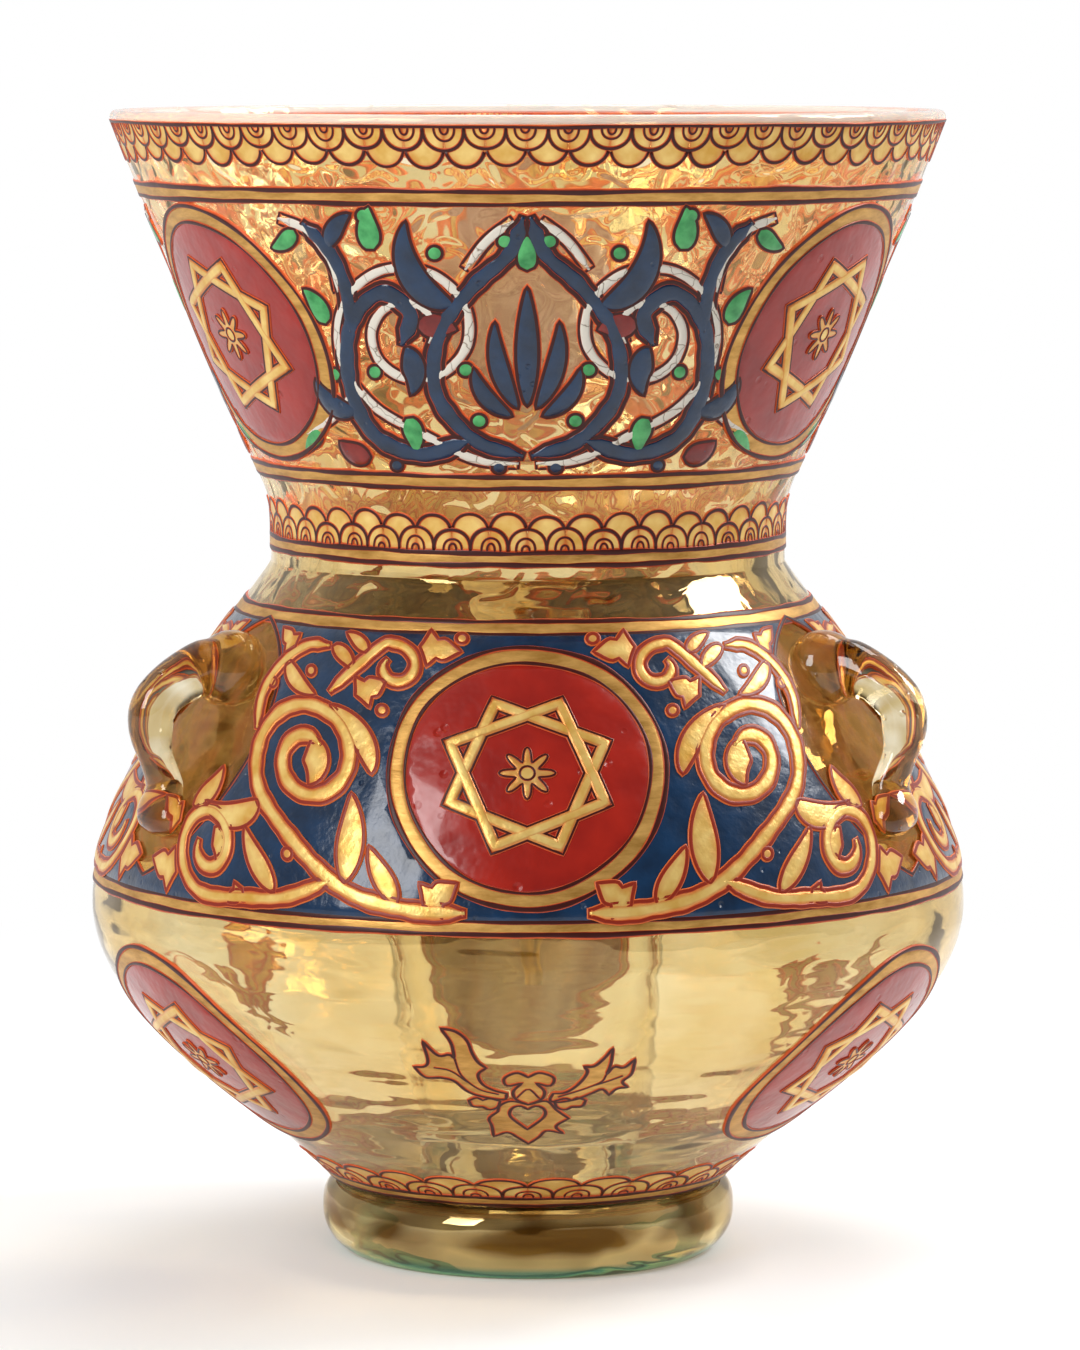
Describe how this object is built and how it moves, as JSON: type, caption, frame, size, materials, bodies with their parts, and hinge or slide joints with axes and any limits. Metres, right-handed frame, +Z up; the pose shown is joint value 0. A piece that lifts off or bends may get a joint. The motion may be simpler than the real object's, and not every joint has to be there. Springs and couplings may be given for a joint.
{
  "type": "mosque lamp",
  "caption": "Enamelled and gilded amber glass mosque lamp with flared neck, round belly, trailed glass handles and foot, and a lift-out oil cup with a wick holder inside.",
  "frame": {"origin": "centre of the standing ring, on the surface that the lamp stands on", "axes": "+Z up along the lamp's axis; -Y towards the front medallion; +X to the right seen from the front"},
  "size_m": [0.2106, 0.2106, 0.275],
  "materials": {
    "lustre_glass": "blown amber lustre glass, glossy and rippled",
    "foot_glass": "dark amber glass, fire polished, greenish at the standing ring",
    "handle_glass": "hot-trailed smoky amber glass, fire polished",
    "red_enamel": "fired red enamel, glossy with small bubbles",
    "blue_enamel": "fired navy blue enamel, glossy with small pits",
    "gilding": "fired gilding, satin",
    "cup_glass": "clear glass with a faint green tint",
    "brass": "aged sheet brass"
  },
  "bodies": {
    "lamp": {"vessel": "lustre_glass", "foot": "foot_glass", "handle_left": "handle_glass", "handle_right": "handle_glass", "handle_back": "handle_glass", "neck_medallion_left": "red_enamel", "neck_medallion_right": "red_enamel", "neck_medallion_back": "red_enamel", "neck_ring_left": "gilding", "neck_ring_right": "gilding", "neck_ring_back": "gilding", "body_medallion_front": "red_enamel", "body_medallion_rear_left": "red_enamel", "body_medallion_rear_right": "red_enamel", "body_ring_front": "gilding", "body_ring_rear_left": "gilding", "body_ring_rear_right": "gilding", "belly_medallion_left": "red_enamel", "belly_medallion_right": "red_enamel", "belly_medallion_back": "red_enamel", "belly_ring_left": "gilding", "belly_ring_right": "gilding", "belly_ring_back": "gilding", "blue_band": "blue_enamel", "lip_fillet": "gilding", "neck_fillet": "gilding", "waist_fillet": "gilding", "shoulder_fillet": "gilding", "belly_fillet": "gilding", "foot_fillet": "gilding"},
    "oil_cup": {"oil_cup": "cup_glass"},
    "wick_holder": {"wick_strap": "brass", "wick_tube": "brass"}
  },
  "joints": [
    {"name": "oil_cup_lift", "type": "slide", "parent": "lamp", "child": "oil_cup", "axis": [0, 0, 1], "range_m": [0, 0.27]},
    {"name": "wick_holder_lift", "type": "slide", "parent": "oil_cup", "child": "wick_holder", "axis": [0, 0, 1], "range_m": [0, 0.06]}
  ]
}
